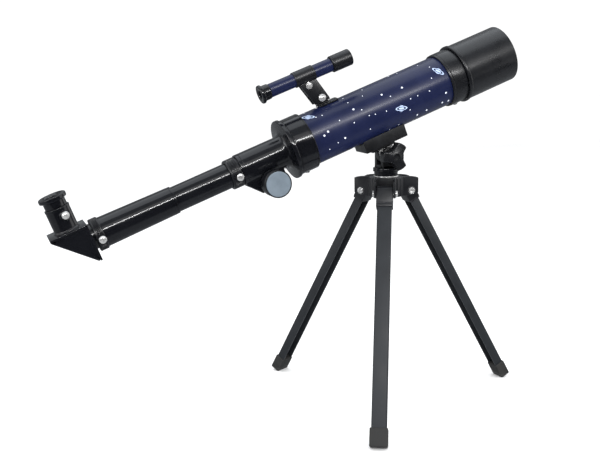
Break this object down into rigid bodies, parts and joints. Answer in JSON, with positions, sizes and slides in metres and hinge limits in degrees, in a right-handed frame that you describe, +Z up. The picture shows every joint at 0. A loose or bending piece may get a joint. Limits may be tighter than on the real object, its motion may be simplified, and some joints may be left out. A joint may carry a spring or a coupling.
{
  "type": "tabletop refracting telescope",
  "caption": "Small blue and black refracting telescope with a star diagonal and finder, tilting and panning on a folding three-legged table tripod.",
  "frame": {"origin": "middle of the object's footprint, on the surface that it stands on", "axes": "+X the plan direction that the telescope points in, +Y towards the side away from the clamp knob, +Z up"},
  "size_m": [0.4882, 0.2658, 0.3761],
  "materials": {
    "black_plastic": "satin black moulded plastic",
    "grey_plastic": "fine-grained dark grey moulded plastic",
    "blue_lacquer": "glossy navy blue lacquer over a drawn aluminium tube",
    "leg_metal": "satin anthracite paint on folded sheet steel",
    "foot_rubber": "matte black rubber",
    "nickel": "nickel-plated steel",
    "knob_cap": "pale blue-grey satin disc",
    "lens_glass": "clear optical glass",
    "mirror_silver": "silvered first-surface glass"
  },
  "bodies": {
    "tripod_hub": {"hub": "black_plastic", "pan_washer": "nickel", "leg_front_pin": "nickel", "leg_right_pin": "nickel", "leg_left_pin": "nickel"},
    "leg_front": {"leg_front_knuckle": "black_plastic", "leg_front_channel": "leg_metal", "leg_front_foot": "foot_rubber"},
    "leg_right": {"leg_right_knuckle": "black_plastic", "leg_right_channel": "leg_metal", "leg_right_foot": "foot_rubber"},
    "leg_left": {"leg_left_knuckle": "black_plastic", "leg_left_channel": "leg_metal", "leg_left_foot": "foot_rubber"},
    "pan_head": {"tilt_post": "grey_plastic", "pan_screw": "nickel", "tilt_bolt": "nickel"},
    "clamp_knob": {"tilt_clamp_knob": "grey_plastic"},
    "telescope": {"saddle": "grey_plastic", "tilt_plate": "nickel", "saddle_screw": "nickel", "main_tube": "blue_lacquer", "objective_cell": "black_plastic", "objective_lens": "lens_glass", "lens_retaining_ring": "black_plastic", "cell_screw": "nickel", "focuser_body": "black_plastic", "focuser_screw": "nickel", "pinion_cover": "black_plastic", "finder_foot": "black_plastic", "finder_pivot_screw": "nickel"},
    "dew_shield": {"dew_shield": "black_plastic"},
    "finder": {"finder_bracket": "black_plastic", "finder_tube": "blue_lacquer", "finder_nut": "nickel", "finder_eyepiece": "black_plastic", "finder_hood": "black_plastic", "finder_lens": "lens_glass"},
    "draw": {"draw_tube": "black_plastic", "draw_rack": "black_plastic", "draw_collar": "black_plastic"},
    "draw_screw": {"draw_thumbscrew": "nickel"},
    "focus_drive": {"focus_pinion": "nickel", "focus_knob_near": "black_plastic", "focus_knob_cap_near": "knob_cap", "focus_knob_far": "black_plastic", "focus_knob_cap_far": "knob_cap"},
    "erector": {"erector_barrel": "black_plastic", "erector_body": "black_plastic", "erector_lens_front": "lens_glass", "erector_lens_rear": "lens_glass", "erector_socket": "black_plastic"},
    "erector_screw": {"erector_thumbscrew": "nickel"},
    "diagonal": {"diagonal_body": "black_plastic", "diagonal_cover": "black_plastic", "diagonal_mirror": "mirror_silver", "diagonal_nosepiece": "black_plastic"},
    "diagonal_screw": {"diagonal_thumbscrew": "nickel"},
    "eyepiece": {"eyepiece_body": "black_plastic", "eyepiece_lens": "lens_glass"}
  },
  "joints": [
    {"name": "leg_front_fold", "type": "hinge", "parent": "tripod_hub", "child": "leg_front", "pos_m": [0.08442, -0.01783, 0.21522], "axis": [0.887, -0.4617, 0], "range_deg": [0, 29]},
    {"name": "leg_right_fold", "type": "hinge", "parent": "tripod_hub", "child": "leg_right", "pos_m": [0.11861, 0.00394, 0.21522], "axis": [-0.0436, 0.999, 0], "range_deg": [0, 29]},
    {"name": "leg_left_fold", "type": "hinge", "parent": "tripod_hub", "child": "leg_left", "pos_m": [0.08266, 0.02266, 0.21522], "axis": [-0.8434, -0.5373, 0], "range_deg": [0, 29]},
    {"name": "pan", "type": "hinge", "parent": "tripod_hub", "child": "pan_head", "pos_m": [0.09523, 0.00292, 0.239], "axis": [0, 0, 1], "continuous": true},
    {"name": "tilt", "type": "hinge", "parent": "pan_head", "child": "telescope", "pos_m": [0.09523, 0.00292, 0.25162], "axis": [0, -1, 0], "range_deg": [-40, 28]},
    {"name": "clamp_turn", "type": "hinge", "parent": "pan_head", "child": "clamp_knob", "pos_m": [0.09523, 0.00292, 0.25162], "axis": [0, -1, 0], "range_deg": [0, 270]},
    {"name": "dew_shield_slide", "type": "slide", "parent": "telescope", "child": "dew_shield", "axis": [0.9367, 0, 0.3502], "range_m": [0, 0.01]},
    {"name": "finder_align", "type": "hinge", "parent": "telescope", "child": "finder", "pos_m": [0.02568, 0.00292, 0.31028], "axis": [0, -1, 0], "range_deg": [-4, 4]},
    {"name": "draw_slide", "type": "slide", "parent": "telescope", "child": "draw", "axis": [0.9367, 0, 0.3502], "range_m": [-0.055, 0]},
    {"name": "focus_turn", "type": "hinge", "parent": "telescope", "child": "focus_drive", "pos_m": [-0.02874, 0.00292, 0.23282], "axis": [0, 1, 0], "range_deg": [-660, 5]},
    {"name": "draw_screw_turn", "type": "hinge", "parent": "draw", "child": "draw_screw", "pos_m": [-0.06205, 0.00292, 0.24225], "axis": [0.0608, -0.9848, -0.1627], "range_deg": [0, 360]},
    {"name": "erector_slide", "type": "slide", "parent": "draw", "child": "erector", "axis": [0.9367, 0, 0.3502], "range_m": [-0.015, 0.045]},
    {"name": "erector_screw_turn", "type": "hinge", "parent": "erector", "child": "erector_screw", "pos_m": [-0.19215, 0.00292, 0.19361], "axis": [0.0608, -0.9848, -0.1627], "range_deg": [0, 360]},
    {"name": "diagonal_turn", "type": "hinge", "parent": "erector", "child": "diagonal", "pos_m": [0.07901, 0.00292, 0.29499], "axis": [0.9367, 0, 0.3502], "continuous": true},
    {"name": "diagonal_screw_turn", "type": "hinge", "parent": "diagonal", "child": "diagonal_screw", "pos_m": [-0.22561, 0.00292, 0.21313], "axis": [0.2739, -0.9563, 0.1024], "range_deg": [0, 360]},
    {"name": "eyepiece_slide", "type": "slide", "parent": "diagonal", "child": "eyepiece", "axis": [-0.3502, 0, 0.9367], "range_m": [0, 0.012]}
  ],
  "couplings": [
    {"joint": "focus_turn", "follows": "draw_slide", "rad_per_m": 208.33}
  ]
}
